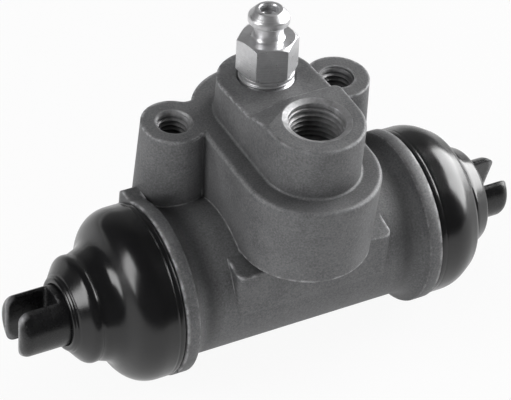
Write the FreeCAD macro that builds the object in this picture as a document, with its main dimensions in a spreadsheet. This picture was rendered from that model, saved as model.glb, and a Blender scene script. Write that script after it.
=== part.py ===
import FreeCAD, Part
import Sketcher
import math
import os

from FreeCAD import Placement, Rotation, Vector

# Drum brake wheel cylinder, in millimetres.
# The row frame has its origin midway between the two mounting bolts, on the mounting face.
# +X runs along the bore, +Y to the bleeder screw's side and +Z out of the mounting face.
# The casting is drawn about the bore's axis, X. The pieces in the bore are drawn with +X pointing
# out of the cylinder, from their piston's outer face, and those on the left are turned half round.

doc = FreeCAD.newDocument("wheel_cylinder")

# Driving dimensions: alias, value, meaning
DIMENSIONS = [
    ("axis_drop", 26.35, "mounting face down to the bore's axis"),
    ("bolt_offset", 10.95, "bolt line to the bore's axis, along Y"),
    ("bolt_spacing", 32.6, "between the two mounting bolts"),
    ("bolt_radius", 3.0, "M6 x 1 thread, nominal"),
    ("bolt_depth", 13.0, "thread depth"),
    ("left_bolt_mouth", 3.3, "countersink radius"),
    ("right_bolt_mouth", 3.05, "countersink radius"),
    ("boss_radius", 5.82, "mounting boss at its top"),
    ("boss_draft", 2.2, "degrees"),
    ("boss_height", 21.5, "mounting boss, down into the barrel"),
    ("boss_blend", 2.0, "hollow between boss and web at the back"),
    ("barrel_radius", 13.5, "outside of the barrel"),
    ("bore_radius", 9.525, "three quarter inch bore"),
    ("collar_radius", 15.8, "end collars"),
    ("collar_face", 25.5, "collar's end face from the middle"),
    ("collar_width", 2.4, "cylindrical band of a collar"),
    ("collar_blend", 3.48, "hollow between collar and barrel"),
    ("spigot_radius", 13.2, "spigot inside the boot"),
    ("spigot_end", 30.0, "spigot's end face from the middle"),
    ("bead_groove_radius", 12.3, "bottom of the boot's groove"),
    ("bead_groove_start", 26.6, "groove from the middle"),
    ("bead_groove_end", 28.1, "groove from the middle"),
    ("edge_break", 0.6, "small turned chamfers"),
    ("hub_radius", 12.45, "lower hub at its top, half its width"),
    ("hub_draft", 2.2, "degrees"),
    ("hub_shift", -0.45, "lower hub along X"),
    ("hub_front", -9.2, "lower hub's front arc, centre along Y"),
    ("hub_back", 8.2, "lower hub's back arc, centre along Y"),
    ("hub_underside", 10.7, "lower hub's underside above the axis"),
    ("hub_round", 1.0, "rounded edge under the lower hub's back"),
    ("ledge_round", 0.8, "rounded edge of the lower hub's top, at the front"),
    ("pilot_radius", 8.7, "upper hub, half its width"),
    ("pilot_height", 10.15, "upper hub above the mounting face"),
    ("pilot_root", 5.0, "upper hub's depth inside the lower one"),
    ("pilot_shift", -0.3, "upper hub along X"),
    ("pilot_back", 7.9, "upper hub's back arc, centre along Y"),
    ("pilot_fillet", 0.4, "hollow at the upper hub's foot"),
    ("pilot_round", 0.5, "rounded edge of the port end's top"),
    ("port_offset", 8.9, "inlet port from the axis, along -Y"),
    ("port_radius", 5.0, "M10 x 1 thread, nominal"),
    ("port_mouth", 6.0, "countersink radius"),
    ("port_depth", 11.0, "thread depth"),
    ("passage_radius", 1.6, "drilled fluid passages"),
    ("seat_shift", 0.0, "bleeder screw along X"),
    ("seat_offset", 8.6, "bleeder screw from the axis, along +Y"),
    ("seat_tilt", 5.0, "degrees that the bleeder screw leans back"),
    ("seat_height", 7.15, "bleeder seat above the mounting face"),
    ("seat_step", -1.4, "step behind the port, along Y"),
    ("step_round", 1.5, "rounded corner at the step's right end"),
    ("ramp_reach", 6.6, "ramp from the step to its front end"),
    ("ramp_drop", 2.2, "ramp's depth at the left wall"),
    ("ramp_end", 0.0, "ramp's end along X"),
    ("web_front", 7.2, "webs between bosses and hub, along Y"),
    ("web_back", 15.1, "webs between bosses and hub, along Y"),
    ("bleeder_radius", 5.0, "M10 x 1 thread, nominal"),
    ("bleeder_depth", 9.5, "thread depth below the seat"),
    ("bleeder_break", 0.35, "countersink of the bleeder's seat"),
    ("bleeder_passage", 20.0, "drilled length below the cone seat"),
    ("pad_face", 13.65, "flat pad on the barrel's front"),
    ("pad_left", -15.0, "flat pad's left end"),
    ("pad_right", 15.5, "flat pad's right end"),
    ("pad_low", 1.1, "flat pad's lower edge above the axis"),
    ("pad_fade", 11.5, "degrees by which the face below that edge runs into the barrel"),
    ("pad_top", 9.3, "flat pad's upper edge above the axis"),
    ("pad_rise", 12.0, "degrees by which its top climbs to the barrel"),
    ("pad_round", 1.4, "rounded upright edges of the pad"),
    ("lug_y", 9.7, "lug on the left collar, along Y"),
    ("lug_width", 4.6, "lug along Y"),
    ("lug_top", 13.6, "lug's top above the axis"),
    ("lug_length", 3.0, "lug along X"),
    ("lug_round", 1.2, "rounded edge of the lug's top, towards the back"),
    ("left_reach", 51.3, "left push rod's tip from the middle"),
    ("right_reach", 46.5, "right push rod's tip from the middle"),
    ("left_roll", 4.0, "degrees by which the rod is turned about its own axis"),
    ("right_roll", 14.0, "degrees by which the rod is turned about its own axis"),
    ("rod_radius", 5.47, "push rod"),
    ("rod_stand", 24.5, "push rod's tip from the piston's face"),
    ("rod_slot_width", 5.0, "slot for the shoe's web"),
    ("rod_slot_depth", 7.5, "slot for the shoe's web"),
    ("rod_round", 1.7, "rounded ends of the slotted tip"),
    ("rod_foot_break", 0.8, "chamfer on the push rod's foot"),
    ("piston_clearance", 0.04, "between piston and bore"),
    ("piston_length", 12.0, "along the bore"),
    ("recess_radius", 5.8, "piston's recess for the push rod"),
    ("recess_depth", 6.0, "piston's recess for the push rod"),
    ("cup_radius", 9.49, "lip of the piston cup"),
    ("cup_heel", 9.2, "piston cup at the piston"),
    ("cup_length", 6.0, "piston cup along the bore"),
    ("cup_floor", 2.5, "piston cup's solid end"),
    ("cup_root", 7.4, "inside of the cup's lip at its root"),
    ("cup_mouth", 8.4, "inside of the cup's lip at its edge"),
    ("expander_wall", 0.6, "pressed steel"),
    ("expander_rim", 7.1, "outside of the expander's rim"),
    ("expander_seat", 6.1, "flat part of the expander"),
    ("expander_depth", 2.2, "expander's rim along the bore"),
    ("button_radius", 3.0, "raised middle that centres the spring"),
    ("button_height", 1.5, "raised middle that centres the spring"),
    ("spring_wire", 0.5, "wire radius"),
    ("spring_radius", 4.6, "middle of the wire from the axis"),
    ("spring_turns", 6.5, "coils"),
    ("spring_gap", 0.02, "between spring and expanders"),
    ("hex_flats", 9.5, "bleeder hexagon across flats"),
    ("hex_start", 1.3, "hexagon's lower face above the seat"),
    ("hex_end", 7.95, "hexagon's upper face above the seat"),
    ("hex_turn", -19.2, "degrees from +X to a corner"),
    ("hex_break", 0.55, "height of the chamfer on the hexagon's corners"),
    ("hex_face", 4.6, "radius of the hexagon's flat ends, inside the chamfer"),
    ("screw_radius", 4.95, "bleeder screw's thread"),
    ("screw_gap", 0.06, "between the cone seats"),
    ("stem_radius", 2.67, "neck under the cap"),
    ("cap_start", 10.6, "cap's lower edge above the seat"),
    ("cap_widest", 11.8, "cap's widest place above the seat"),
    ("cap_radius", 3.66, "widest part of the cap"),
    ("cap_end", 13.5, "cap's top above the seat"),
    ("cap_top", 2.3, "flat top of the cap"),
    ("stem_bore", 1.1, "fluid bore through the screw"),
    ("stem_mouth", 1.6, "mouth of that bore"),
    ("cross_height", 4.5, "cross hole above the cone's tip"),
    ("cross_radius", 0.9, "cross hole"),
]

# Turned outline of each boot: distance from the middle, radius, rounding of that corner
BOOTS = {
    "left": [
        (25.55, 15.62, 0), (31.25, 15.62, 5.2), (37.05, 9.18, 1.0), (38.85, 10.1, 1.3),
        (41.6, 6.83, 1.0), (42.65, 6.0, 0.25), (42.65, 5.5, 0), (41.3, 5.5, 0),
        (38.75, 8.55, 0.5), (36.45, 7.75, 1.0), (31.5, 13.23, 1.0), (28.05, 13.23, 0),
        (28.05, 12.35, 0), (26.65, 12.35, 0), (26.65, 13.23, 0), (25.55, 13.23, 0),
    ],
    "right": [
        (25.55, 15.5, 0), (33.1, 15.5, 4.2), (36.3, 8.94, 0.8), (37.5, 9.3, 0.9),
        (40.9, 6.3, 0.25), (40.9, 5.5, 0), (39.5, 5.5, 0),
        (37.35, 7.9, 0.5), (35.5, 7.4, 0.8), (32.66, 13.23, 1.0), (28.05, 13.23, 0),
        (28.05, 12.35, 0), (26.65, 12.35, 0), (26.65, 13.23, 0), (25.55, 13.23, 0),
    ],
}

sheet = doc.addObject("Spreadsheet::Sheet", "dims")
rows = list(DIMENSIONS)
for side, corners in BOOTS.items():
    for number, corner in enumerate(corners, start=1):
        for word, value in zip(("along", "radius", "round"), corner):
            rows.append((f"{side}_boot_{word}{number}", value, f"{side} boot, corner {number}"))
for row, (alias, value, meaning) in enumerate(rows, start=1):
    sheet.set(f"A{row}", alias)
    sheet.set(f"B{row}", str(value))
    sheet.setAlias(f"B{row}", alias)
    sheet.set(f"C{row}", meaning)
doc.recompute()


def size(expression):
    """Value of an expression in the sheet's aliases."""
    return float(sheet.evalExpression(expression))


def bind(thing, prop, expression):
    thing.setExpression(prop, expression)


# Sub-parts: one document object each, put in its place in the row frame

subparts = []


def newBody(name):
    body = doc.addObject("PartDesign::Body", name)
    body.Label = name
    return body


def seat(piece, name, x="0", turn=0.0, roll=0.0):
    """Put a piece that is drawn about the bore's axis in its place, rolled about that axis first."""
    piece.Label = name
    piece.Placement = Placement(Vector(0, 0, 0), Rotation(turn, 0, roll))
    bind(piece, "Placement.Base.x", x)
    bind(piece, "Placement.Base.y", "0 - dims.bolt_offset")
    bind(piece, "Placement.Base.z", "0 - dims.axis_drop")
    subparts.append(piece)


# Sketches

def newSketch(body, name, role, offset=None):
    plane = next(p for p in body.Origin.OriginFeatures if p.Role == role)
    sketch = body.newObject("Sketcher::SketchObject", name)
    sketch.AttachmentSupport = [(plane, "")]
    sketch.MapMode = "FlatFace"
    if offset:
        bind(sketch, "AttachmentOffset.Base.z", offset)
    return sketch


def drive(sketch, kind, where, expression):
    """Add a dimension to a sketch and bind it to the sheet."""
    index = sketch.addConstraint(Sketcher.Constraint(kind, *where, size(expression)))
    name = f"size{index}"
    sketch.renameConstraint(index, name)
    bind(sketch, f"Constraints.{name}", expression)


def pin(sketch, edge, end, x, y):
    """Fix one end of an edge, or a point, at two distances from the sketch's origin."""
    drive(sketch, "DistanceX", (-1, 1, edge, end), x)
    drive(sketch, "DistanceY", (-1, 1, edge, end), y)


def arcCentre(start, end, radius, side):
    """Centre of the short arc between two corners, on one side of the way from start to end."""
    way = end - start
    normal = Vector(-way.y, way.x, 0).normalize() * (1 if side == "left" else -1)
    return (start + end) * 0.5 + normal * math.sqrt(max(radius ** 2 - (way.Length / 2) ** 2, 0))


def addArc(sketch, start, end, centre, side):
    """Arc about a centre. Returns the edge and which of its ends are the start and the end."""
    first, last = (start, end) if side == "left" else (end, start)
    angles = [math.atan2(p.y - centre.y, p.x - centre.x) for p in (first, last)]
    if angles[1] < angles[0]:
        angles[1] += 2 * math.pi
    circle = Part.Circle(centre, Vector(0, 0, 1), (start - centre).Length)
    edge = sketch.addGeometry(Part.ArcOfCircle(circle, *angles), False)
    return (edge, 1, 2) if side == "left" else (edge, 2, 1)


def drawOutline(sketch, corners):
    """Closed outline. Each corner is (x, y) or (x, y, arc radius, side of its centre) for what follows it."""
    points = [Vector(size(corner[0]), size(corner[1]), 0) for corner in corners]
    ends = []
    for index, corner in enumerate(corners):
        start, end = points[index], points[(index + 1) % len(points)]
        if len(corner) == 2:
            ends.append((sketch.addGeometry(Part.LineSegment(start, end), False), 1, 2))
        else:
            centre = arcCentre(start, end, size(corner[2]), corner[3])
            ends.append(addArc(sketch, start, end, centre, corner[3]))
    for index, corner in enumerate(corners):
        edge, tail, _ = ends[index]
        before, _, head = ends[index - 1]
        sketch.addConstraint(Sketcher.Constraint("Coincident", before, head, edge, tail))
        pin(sketch, edge, tail, corner[0], corner[1])
        if len(corner) > 2:
            drive(sketch, "Radius", (edge,), corner[2])


def drawSoftOutline(sketch, corners):
    """Closed outline of straight edges. Each corner is (x, y, rounding), where a rounding of 0 stays sharp."""
    points = [Vector(size(corner[0]), size(corner[1]), 0) for corner in corners]
    roundings = [size(corner[2]) for corner in corners]
    cuts = []
    for index, point in enumerate(points):
        back = (points[index - 1] - point).normalize()
        ahead = (points[(index + 1) % len(points)] - point).normalize()
        reach = roundings[index] / math.tan(back.getAngle(ahead) / 2)
        cuts.append((point + back * reach, point + ahead * reach, back, ahead))
    lines = []
    for index in range(len(points)):
        start, end = cuts[index][1], cuts[(index + 1) % len(points)][0]
        lines.append(sketch.addGeometry(Part.LineSegment(start, end), False))
    for index, point in enumerate(points):
        before, after = lines[index - 1], lines[index]
        if not roundings[index]:
            sketch.addConstraint(Sketcher.Constraint("Coincident", before, 2, after, 1))
            pin(sketch, after, 1, corners[index][0], corners[index][1])
            continue
        start, end, back, ahead = cuts[index]
        half = back.getAngle(ahead) / 2
        centre = point + (back + ahead).normalize() * (roundings[index] / math.sin(half))
        side = "left" if back.cross(ahead).z < 0 else "right"
        arc, tail, head = addArc(sketch, start, end, centre, side)
        corner = sketch.addGeometry(Part.Point(point), True)
        pin(sketch, corner, 1, corners[index][0], corners[index][1])
        sketch.addConstraint([
            Sketcher.Constraint("PointOnObject", corner, 1, before),
            Sketcher.Constraint("PointOnObject", corner, 1, after),
            Sketcher.Constraint("Tangent", before, 2, arc, tail),
            Sketcher.Constraint("Tangent", after, 1, arc, head),
        ])
        drive(sketch, "Radius", (arc,), corners[index][2])


def drawRacetrack(sketch, x, front, back, radius):
    """Two half circles about (x, front) and (x, back), joined by straight sides."""
    left, right = f"{x} - {radius}", f"{x} + {radius}"
    drawOutline(sketch, [
        (left, front, radius, "left"),
        (x, f"{front} - {radius}", radius, "left"),
        (right, front),
        (right, back, radius, "left"),
        (x, f"{back} + {radius}", radius, "left"),
        (left, back),
    ])


def drawHexagon(sketch, flats, turn):
    """Regular hexagon, by its corners."""
    corners = []
    for number in range(6):
        angle = f"({turn} + {60 * number})"
        corners.append((f"{flats} / 2 / cos(30) * cos({angle})", f"{flats} / 2 / cos(30) * sin({angle})"))
    drawOutline(sketch, corners)


# Features

def turned(body, name, corners, role="XZ_Plane", axis="H_Axis", cut=False, soft=False):
    """Turn an outline once about an axis of its sketch."""
    sketch = newSketch(body, f"{name}_outline", role)
    if soft:
        drawSoftOutline(sketch, corners)
    else:
        drawOutline(sketch, corners)
    kind = "PartDesign::Groove" if cut else "PartDesign::Revolution"
    feature = body.newObject(kind, name)
    feature.Profile = sketch
    feature.ReferenceAxis = (sketch, [axis])
    feature.Angle = 360.0
    return feature


def pad(body, name, sketch, length):
    feature = body.newObject("PartDesign::Pad", name)
    feature.Profile = sketch
    bind(feature, "Length", length)
    return feature


def cutThrough(body, name, sketch):
    """Cut an outline through the whole body, to both sides of its plane."""
    feature = body.newObject("PartDesign::Pocket", name)
    feature.Profile = sketch
    feature.Type = "ThroughAll"
    feature.Midplane = True
    doc.recompute()
    return feature


def place(thing, x="0", y="0", z="0"):
    for axis, expression in zip("xyz", (x, y, z)):
        bind(thing, f"Placement.Base.{axis}", expression)
    return thing


def block(name, low, high):
    """Box from one corner to the other, each corner three expressions."""
    box = doc.addObject("Part::Box", name)
    for prop, start, end in zip(("Length", "Width", "Height"), low, high):
        bind(box, prop, f"({end}) - ({start})")
    return place(box, *low)


def column(name, radius, height, **where):
    """Round column standing up from its place."""
    round_bar = doc.addObject("Part::Cylinder", name)
    bind(round_bar, "Radius", radius)
    bind(round_bar, "Height", height)
    return place(round_bar, **where)


def taper(name, low_radius, high_radius, height, **where):
    cone = doc.addObject("Part::Cone", name)
    bind(cone, "Radius1", low_radius)
    bind(cone, "Radius2", high_radius)
    bind(cone, "Height", height)
    return place(cone, **where)


def join(name, pieces, refine=False):
    fused = doc.addObject("Part::MultiFuse", name)
    fused.Shapes = pieces
    fused.Refine = refine
    doc.recompute()
    return fused


def cutAway(name, base, tool):
    cut = doc.addObject("Part::Cut", name)
    cut.Base = base
    cut.Tool = tool
    cut.Refine = False
    doc.recompute()
    return cut


def roundOff(name, base, radius, wanted):
    """Fillet on those edges whose lowest and highest corner pass a test."""
    picked = []
    for index, edge in enumerate(base.Shape.Edges, start=1):
        box = edge.BoundBox
        if wanted(Vector(box.XMin, box.YMin, box.ZMin), Vector(box.XMax, box.YMax, box.ZMax)):
            picked.append((index, size(radius), size(radius)))
    fillet = doc.addObject("Part::Fillet", name)
    fillet.Base = base
    fillet.Edges = picked
    doc.recompute()
    return fillet


def near(value, *others, tolerance=0.02):
    return all(abs(value - other) < tolerance for other in others)


# Casting: barrel, hubs, bosses, pad and lug, then the machined holes

FACE = "dims.axis_drop"
PORT_TOP = f"{FACE} + dims.pilot_height"


def makeBarrel():
    body = newBody("barrel")
    half = [
        ("dims.spigot_end", "dims.spigot_radius - dims.edge_break"),
        ("dims.spigot_end - dims.edge_break", "dims.spigot_radius"),
        ("dims.bead_groove_end", "dims.spigot_radius"),
        ("dims.bead_groove_end", "dims.bead_groove_radius"),
        ("dims.bead_groove_start", "dims.bead_groove_radius"),
        ("dims.bead_groove_start", "dims.spigot_radius"),
        ("dims.collar_face", "dims.spigot_radius"),
        ("dims.collar_face", "dims.collar_radius"),
        ("dims.collar_face - dims.collar_width", "dims.collar_radius"),
    ]
    rise = "(dims.collar_radius - dims.barrel_radius)"
    blend_end = f"dims.collar_face - dims.collar_width - sqrt(2 * dims.collar_blend * {rise} - {rise}^2)"
    corners = [("dims.spigot_end", "0")]
    corners += half[:-1]
    corners.append(half[-1] + ("dims.collar_blend", "right"))
    corners.append((blend_end, "dims.barrel_radius"))
    corners.append((f"0 - ({blend_end})", "dims.barrel_radius", "dims.collar_blend", "right"))
    corners += [(f"0 - ({x})", r) for x, r in reversed(half)]
    corners.append(("0 - dims.spigot_end", "0"))
    turned(body, "barrel_turn", corners)
    return body


def seatLevel(y):
    """Height of the bleeder's leaning seat plane at one place along Y."""
    return f"({FACE} + dims.seat_height - ({y} - dims.seat_offset) * tan(dims.seat_tilt))"


def makeHubs():
    """Lower hub with its draft, and upper hub, which is cut down to the bleeder's seat behind the port."""
    height = "(dims.axis_drop - dims.hub_underside)"
    foot = f"(dims.hub_radius - {height} * tan(dims.hub_draft))"
    where = {"x": "dims.hub_shift", "z": "dims.hub_underside"}
    front = taper("hub_front_end", foot, "dims.hub_radius", height, y="dims.hub_front", **where)
    back = taper("hub_back_end", foot, "dims.hub_radius", height, y="dims.hub_back", **where)
    middle = doc.addObject("Part::Wedge", "hub_middle")
    for prop, expression in (("Ymin", "0"), ("Ymax", height), ("Xmin", f"0 - {foot}"), ("Xmax", foot),
                             ("X2min", "0 - dims.hub_radius"), ("X2max", "dims.hub_radius"),
                             ("Zmin", "0 - dims.hub_back"), ("Zmax", "0 - dims.hub_front"),
                             ("Z2min", "0 - dims.hub_back"), ("Z2max", "0 - dims.hub_front")):
        bind(middle, prop, expression)
    middle.Placement = Placement(Vector(0, 0, 0), Rotation(Vector(1, 0, 0), 90))
    place(middle, **where)
    upper = newBody("upper_hub")
    sketch = newSketch(upper, "upper_hub_outline", "XY_Plane", f"{FACE} - dims.pilot_root")
    drawRacetrack(sketch, "dims.pilot_shift", "0 - dims.port_offset", "dims.pilot_back", "dims.pilot_radius")
    pad(upper, "upper_hub_pad", sketch, "dims.pilot_root + dims.pilot_height")
    step = newSketch(upper, "seat_outline", "YZ_Plane")
    far, high = "3 * dims.pilot_radius", "2 * dims.axis_drop"
    drawOutline(step, [
        ("dims.seat_step", seatLevel("dims.seat_step")),
        (far, seatLevel(far)),
        (far, high),
        ("dims.seat_step", high),
    ])
    cutThrough(upper, "seat_cut", step)
    return join("hubs", [front, back, middle, upper])


def makeRamp():
    """Prism over the ramp that leads from the raised port end down to the bleeder's level at the left wall."""
    top = size(PORT_TOP)
    wall = size("dims.pilot_shift - dims.pilot_radius - 1")
    step = size("dims.seat_step")
    front = Vector(wall, step - size("dims.ramp_reach"), top)
    back = Vector(wall, step, top - size("dims.ramp_drop"))
    middle = Vector(size("dims.ramp_end"), step, top)
    ramp = Part.Face(Part.makePolygon([front, back, middle, front]))
    cutter = doc.addObject("Part::Feature", "ramp_cutter")
    cutter.Shape = ramp.extrude(Vector(0, 0, size("dims.ramp_drop") + 1))
    return cutter


def makeBosses():
    pieces = []
    foot = f"{FACE} - dims.boss_height"
    reach = "dims.bolt_spacing / 2"
    for side, sign in (("left", "0 - "), ("right", "")):
        pieces.append(taper(f"{side}_boss", "dims.boss_radius + dims.boss_height * tan(dims.boss_draft)",
                            "dims.boss_radius", "dims.boss_height", x=f"{sign}{reach}",
                            y="dims.bolt_offset", z=foot))
    pieces.append(block("webs", (f"0 - {reach}", "dims.web_front", foot), (reach, "dims.web_back", FACE)))
    return pieces


def makePads():
    """Flat pad on the barrel's front, and the lug on the left collar."""
    body = newBody("pad")
    sketch = newSketch(body, "pad_outline", "YZ_Plane", "dims.pad_left")
    face, sunk = "(0 - dims.pad_face)", "(dims.pad_low - dims.hub_radius / 2)"
    drawOutline(sketch, [
        (face, "dims.pad_low"),
        (f"{face} + ({sunk} - dims.pad_low) * (0 - tan(dims.pad_fade))", sunk),
        ("0", sunk),
        ("0", "dims.pad_top + dims.pad_face * tan(dims.pad_rise)"),
        (face, "dims.pad_top"),
    ])
    pad(body, "pad_length", sketch, "dims.pad_right - dims.pad_left")
    lug_half = "dims.lug_width / 2"
    lug = block("lug", ("0 - dims.collar_face", f"dims.lug_y - {lug_half}", "dims.lug_top / 2"),
                ("dims.lug_length - dims.collar_face", f"dims.lug_y + {lug_half}", "dims.lug_top"))
    return [body, lug]


def roundCasting(blank):
    """Cast edges and hollows."""
    back, top, height = size("dims.web_back"), size(PORT_TOP), size("dims.boss_height")
    face, underside = size(FACE), size("dims.hub_underside")
    step, lug, lug_back = size("dims.seat_step"), size("dims.lug_top"), size("dims.lug_y + dims.lug_width / 2")
    ledge_end, pad_face = size("dims.web_front + 0.1"), size("0 - dims.pad_face")
    left, right = size("dims.pilot_shift - dims.pilot_radius"), size("dims.pilot_shift + dims.pilot_radius")
    soft = roundOff("step_corner", blank, "dims.step_round", lambda low, high: (
        near(step, low.y, high.y) and near(right, low.x) and near(top, high.z)))
    soft = roundOff("under_edge", soft, "dims.hub_round", lambda low, high: (
        near(underside, low.z, high.z) and low.y > back - 0.1))
    soft = roundOff("boss_hollow", soft, "dims.boss_blend", lambda low, high: (
        near(back, low.y, high.y) and high.z - low.z > height - 0.5))
    soft = roundOff("upper_hollow", soft, "dims.pilot_fillet", lambda low, high: (
        near(face, low.z, high.z) and low.x > left - 0.05 and high.x < right + 0.05))
    soft = roundOff("lug_edge", soft, "dims.lug_round", lambda low, high: (
        near(lug, low.z, high.z) and near(lug_back, low.y, high.y)))
    soft = roundOff("pad_edge", soft, "dims.pad_round", lambda low, high: (
        near(pad_face, low.y, high.y) and high.z - low.z > 1))
    soft = roundOff("ledge_edge", soft, "dims.ledge_round", lambda low, high: (
        near(face, low.z, high.z) and high.y < ledge_end and not (low.x > left - 1 and high.x < right + 1)))
    return roundOff("port_edge", soft, "dims.pilot_round", lambda low, high: near(top, low.z, high.z))


def makeBleederHole():
    body = newBody("bleeder_hole")
    seat_end = "(0 - dims.bleeder_depth - (dims.bleeder_radius - dims.passage_radius))"
    turned(body, "bleeder_hole_turn", [
        ("0", f"{seat_end} - dims.bleeder_passage"),
        ("dims.passage_radius", f"{seat_end} - dims.bleeder_passage"),
        ("dims.passage_radius", seat_end),
        ("dims.bleeder_radius", "0 - dims.bleeder_depth"),
        ("dims.bleeder_radius", "0 - dims.bleeder_break"),
        ("dims.bleeder_radius + 2 * dims.bleeder_break", "dims.bleeder_break"),
        ("dims.bleeder_radius + 2 * dims.bleeder_break", "1"),
        ("0", "1"),
    ], axis="V_Axis")
    return lean(body, "dims.seat_offset", f"{FACE} + dims.seat_height")


def lean(thing, y, z):
    """Turn a piece that is drawn along the bleeder's axis, from its seat, into its leaning place."""
    thing.Placement = Placement(Vector(0, 0, 0), Rotation(Vector(1, 0, 0), -size("dims.seat_tilt")))
    return place(thing, "dims.seat_shift", y, z)


def makeMachining():
    """All that is bored, drilled and tapped, as one tool."""
    bore = column("bore", "dims.bore_radius", "3 * dims.spigot_end", x="0 - 1.5 * dims.spigot_end")
    bore.Placement = Placement(bore.Placement.Base, Rotation(Vector(0, 1, 0), 90))
    port = {"x": "0", "y": "0 - dims.port_offset"}
    break_depth = "(dims.port_mouth - dims.port_radius)"
    point_height = "(dims.port_radius - dims.passage_radius) * 0.6"
    tools = [
        bore,
        column("port_thread", "dims.port_radius", "dims.port_depth + 1",
               z=f"{PORT_TOP} - dims.port_depth", **port),
        taper("port_mouth", "dims.port_radius", f"dims.port_mouth + {break_depth}",
              f"2 * {break_depth}", z=f"{PORT_TOP} - {break_depth}", **port),
        taper("port_point", "dims.passage_radius", "dims.port_radius", point_height,
              z=f"{PORT_TOP} - dims.port_depth - {point_height}", **port),
        column("port_passage", "dims.passage_radius", f"{PORT_TOP} - dims.port_depth", z="0", **port),
    ]
    for side, sign in (("left", "0 - "), ("right", "")):
        hole = {"x": f"{sign}dims.bolt_spacing / 2", "y": "dims.bolt_offset"}
        rise = f"(dims.{side}_bolt_mouth - dims.bolt_radius)"
        tools += [
            column(f"{side}_bolt_thread", "dims.bolt_radius", "dims.bolt_depth + 1",
                   z=f"{FACE} - dims.bolt_depth", **hole),
            taper(f"{side}_bolt_mouth", "dims.bolt_radius", f"dims.bolt_radius + 2 * {rise}",
                  f"2 * {rise}", z=f"{FACE} - {rise}", **hole),
            taper(f"{side}_bolt_point", "0", "dims.bolt_radius", "dims.bolt_radius * 0.6",
                  z=f"{FACE} - dims.bolt_depth - dims.bolt_radius * 0.6", **hole),
        ]
    return join("machining", tools + [makeBleederHole()])


def makeCylinderBody():
    hubs = cutAway("ramped_hubs", makeHubs(), makeRamp())
    blank = join("blank", [makeBarrel(), hubs] + makeBosses() + makePads(), refine=True)
    casting = cutAway("cylinder_body", roundCasting(blank), makeMachining())
    seat(casting, "cylinder_body")


# Bleeder screw, drawn along Z from the seat in the casting

def makeBleederScrew():
    body = newBody("bleeder_screw")
    cone_end = "(0 - dims.bleeder_depth - (dims.screw_radius - dims.passage_radius) + dims.screw_gap)"
    turned(body, "screw_turn", [
        ("0", cone_end),
        ("dims.passage_radius", cone_end),
        ("dims.screw_radius", "0 - dims.bleeder_depth + dims.screw_gap"),
        ("dims.screw_radius", "dims.hex_start"),
        ("dims.stem_radius", "dims.hex_start"),
        ("dims.stem_radius", "dims.cap_start"),
        ("dims.cap_radius", "dims.cap_widest"),
        ("dims.cap_top", "dims.cap_end"),
        ("0", "dims.cap_end"),
    ], axis="V_Axis")
    sketch = newSketch(body, "hexagon_outline", "XY_Plane", "dims.hex_start")
    drawHexagon(sketch, "dims.hex_flats", "dims.hex_turn")
    pad(body, "hexagon", sketch, "dims.hex_end - dims.hex_start")
    corner = "dims.hex_flats / 2 / cos(30) + 0.1"
    for name, edge, sign in (("upper_break", "dims.hex_end", "-"), ("lower_break", "dims.hex_start", "+")):
        turned(body, name, [
            ("dims.hex_face", edge),
            (corner, f"{edge} {sign} dims.hex_break"),
            (corner, edge),
        ], axis="V_Axis", cut=True)
    bore_end = f"{cone_end} + dims.cross_height - 1.5 * dims.cross_radius"
    turned(body, "fluid_bore", [
        ("0", bore_end),
        ("dims.stem_bore", bore_end),
        ("dims.stem_bore", "dims.cap_end - dims.edge_break"),
        ("dims.stem_mouth", "dims.cap_end"),
        ("0", "dims.cap_end"),
    ], axis="V_Axis", cut=True)
    sketch = newSketch(body, "cross_hole_outline", "XZ_Plane")
    centre = Vector(0, size(f"{cone_end} + dims.cross_height"), 0)
    edge = sketch.addGeometry(Part.Circle(centre, Vector(0, 0, 1), size("dims.cross_radius")), False)
    pin(sketch, edge, 3, "0", f"{cone_end} + dims.cross_height")
    drive(sketch, "Radius", (edge,), "dims.cross_radius")
    cutThrough(body, "cross_hole", sketch)
    subparts.append(lean(body, "dims.seat_offset - dims.bolt_offset", "dims.seat_height"))


# Pieces of each end, drawn with +X out of the cylinder from the piston's outer face

def makePiston(name):
    body = newBody(name)
    outside = "(dims.bore_radius - dims.piston_clearance)"
    turned(body, f"{name}_turn", [
        ("0", "dims.recess_radius + dims.edge_break"),
        ("0", f"{outside} - dims.edge_break"),
        ("0 - dims.edge_break", outside),
        ("dims.edge_break - dims.piston_length", outside),
        ("0 - dims.piston_length", f"{outside} - dims.edge_break"),
        ("0 - dims.piston_length", "0"),
        ("0 - dims.recess_depth", "0"),
        ("0 - dims.recess_depth", "dims.recess_radius"),
        ("0 - dims.edge_break", "dims.recess_radius"),
    ])
    return body


def makeCup(name):
    """Rubber cup: solid end at the piston, lip flared against the bore."""
    body = newBody(name)
    start, end = "0 - dims.piston_length", "0 - dims.piston_length - dims.cup_length"
    floor = "0 - dims.piston_length - dims.cup_floor"
    turned(body, f"{name}_turn", [
        (start, "0"),
        (start, "dims.cup_heel"),
        (end, "dims.cup_radius"),
        (end, "dims.cup_mouth"),
        (floor, "dims.cup_root"),
        (floor, "0"),
    ])
    return body


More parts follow.
